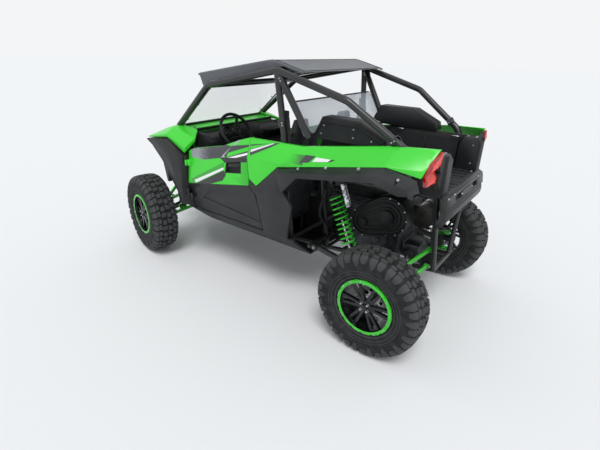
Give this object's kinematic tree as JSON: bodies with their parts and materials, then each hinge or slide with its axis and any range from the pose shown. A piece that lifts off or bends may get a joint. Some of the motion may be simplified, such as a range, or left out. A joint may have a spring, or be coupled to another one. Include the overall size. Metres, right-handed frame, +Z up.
{
  "type": "side by side utv",
  "caption": "Two-seat off-road side by side utility vehicle with a roll cage, soft top, half doors, cargo bed, long-travel suspension and knobbly tyres.",
  "frame": {"origin": "on the ground midway between the two axles, on the centre plane", "axes": "+X forward, +Y to the vehicle's left, +Z up"},
  "size_m": [3.3377, 1.8614, 1.918],
  "materials": {
    "black_plastic": "grained mouldings",
    "cage_paint": "satin powder coat",
    "cast_metal": "as cast",
    "clear_sheet": "clear polycarbonate",
    "dark_body": "grained mouldings",
    "frame_paint": "satin black paint",
    "green_body": "gloss moulded colour",
    "green_steel": "gloss powder coat",
    "grey_case": "moulded grey",
    "grip": "soft grip",
    "lamp_lens": "clear lens",
    "muffler_steel": "brushed",
    "red_lens": "red lens",
    "rim_black": "painted alloy",
    "roof_vinyl": "coated fabric",
    "seat_vinyl": "stitched vinyl",
    "tyre_rubber": "moulded rubber"
  },
  "bodies": {
    "root": {"air_box": "grey_case", "cargo_bed": "black_plastic", "console": "black_plastic", "dashboard": "black_plastic", "drive_cover": "black_plastic", "engine": "cast_metal", "exhaust": "muffler_steel", "floor_pan": "black_plastic", "frame_tubes": "frame_paint", "front_bumper": "dark_body", "front_fender_left": "green_body", "front_fender_right": "green_body", "front_flare_left": "dark_body", "front_flare_right": "dark_body", "front_gearcase": "cast_metal", "front_wishbones": "green_steel", "half_shafts": "muffler_steel", "headlamps": "lamp_lens", "hood": "green_body", "intake_boxes": "black_plastic", "quarter_panel_left": "green_body", "quarter_panel_right": "green_body", "radius_rods": "green_steel", "rear_bumper": "dark_body", "rear_flare_left": "dark_body", "rear_flare_right": "dark_body", "rear_screen": "clear_sheet", "roll_cage": "cage_paint", "roof": "roof_vinyl", "seat_left": "seat_vinyl", "seat_right": "seat_vinyl", "shocks": "muffler_steel", "side_panel_left": "dark_body", "side_panel_right": "dark_body", "springs": "green_steel", "tail_lamps": "red_lens", "trailing_arms": "frame_paint", "windscreen": "clear_sheet"},
    "knuckle_left": {"knuckle_left": "frame_paint"},
    "knuckle_right": {"knuckle_right": "frame_paint"},
    "steering_rack": {"steering_rack": "frame_paint"},
    "steering_wheel": {"steering_wheel": "grip"},
    "door_left": {"door_shell_left": "dark_body", "door_skin_left": "green_body"},
    "door_right": {"door_shell_right": "dark_body", "door_skin_right": "green_body"},
    "wheel_front_left": {"tyre_front_left": "tyre_rubber", "rim_front_left": "rim_black"},
    "wheel_front_right": {"tyre_front_right": "tyre_rubber", "rim_front_right": "rim_black"},
    "wheel_rear_left": {"tyre_rear_left": "tyre_rubber", "rim_rear_left": "rim_black"},
    "wheel_rear_right": {"tyre_rear_right": "tyre_rubber", "rim_rear_right": "rim_black"}
  },
  "joints": [
    {"name": "steer_left", "type": "hinge", "parent": "root", "child": "knuckle_left", "pos_m": [1.2575, 0.588, 0.3935], "axis": [0, 0, 1], "range_deg": [-14.3, 39.7]},
    {"name": "steer_right", "type": "hinge", "parent": "root", "child": "knuckle_right", "pos_m": [1.2575, -0.588, 0.3935], "axis": [0, 0, 1], "range_deg": [-14.31, 39.71]},
    {"name": "rack_slide", "type": "slide", "parent": "root", "child": "steering_rack", "axis": [0, 1, 0], "range_m": [-0.0797, 0.0289]},
    {"name": "steering_wheel_turn", "type": "hinge", "parent": "root", "child": "steering_wheel", "pos_m": [0.4, 0.35, 1.29], "axis": [-0.848, 0, 0.5299], "range_deg": [-114.9, 318.1]},
    {"name": "door_left_hinge", "type": "hinge", "parent": "root", "child": "door_left", "pos_m": [0.648, 0.744, 0.9], "axis": [0, 0, -1], "range_deg": [0, 65]},
    {"name": "door_right_hinge", "type": "hinge", "parent": "root", "child": "door_right", "pos_m": [0.648, -0.744, 0.9], "axis": [0, 0, 1], "range_deg": [0, 65]},
    {"name": "wheel_front_left_spin", "type": "hinge", "parent": "knuckle_left", "child": "wheel_front_left", "pos_m": [1.29048, 0.73433, 0.3935], "axis": [0.2198, 0.9755, 0], "continuous": true},
    {"name": "wheel_front_right_spin", "type": "hinge", "parent": "knuckle_right", "child": "wheel_front_right", "pos_m": [1.22452, -0.73433, 0.3935], "axis": [0.2198, 0.9755, 0], "continuous": true},
    {"name": "wheel_rear_left_spin", "type": "hinge", "parent": "root", "child": "wheel_rear_left", "pos_m": [-1.2575, 0.738, 0.3935], "axis": [0, 1, 0], "continuous": true},
    {"name": "wheel_rear_right_spin", "type": "hinge", "parent": "root", "child": "wheel_rear_right", "pos_m": [-1.2575, -0.738, 0.3935], "axis": [0, 1, 0], "continuous": true}
  ],
  "couplings": [
    {"joint": "steer_right", "follows": "steer_left", "ratio": 1},
    {"joint": "rack_slide", "follows": "steer_left", "m_per_rad": -0.1146},
    {"joint": "steering_wheel_turn", "follows": "steer_left", "ratio": 8}
  ]
}
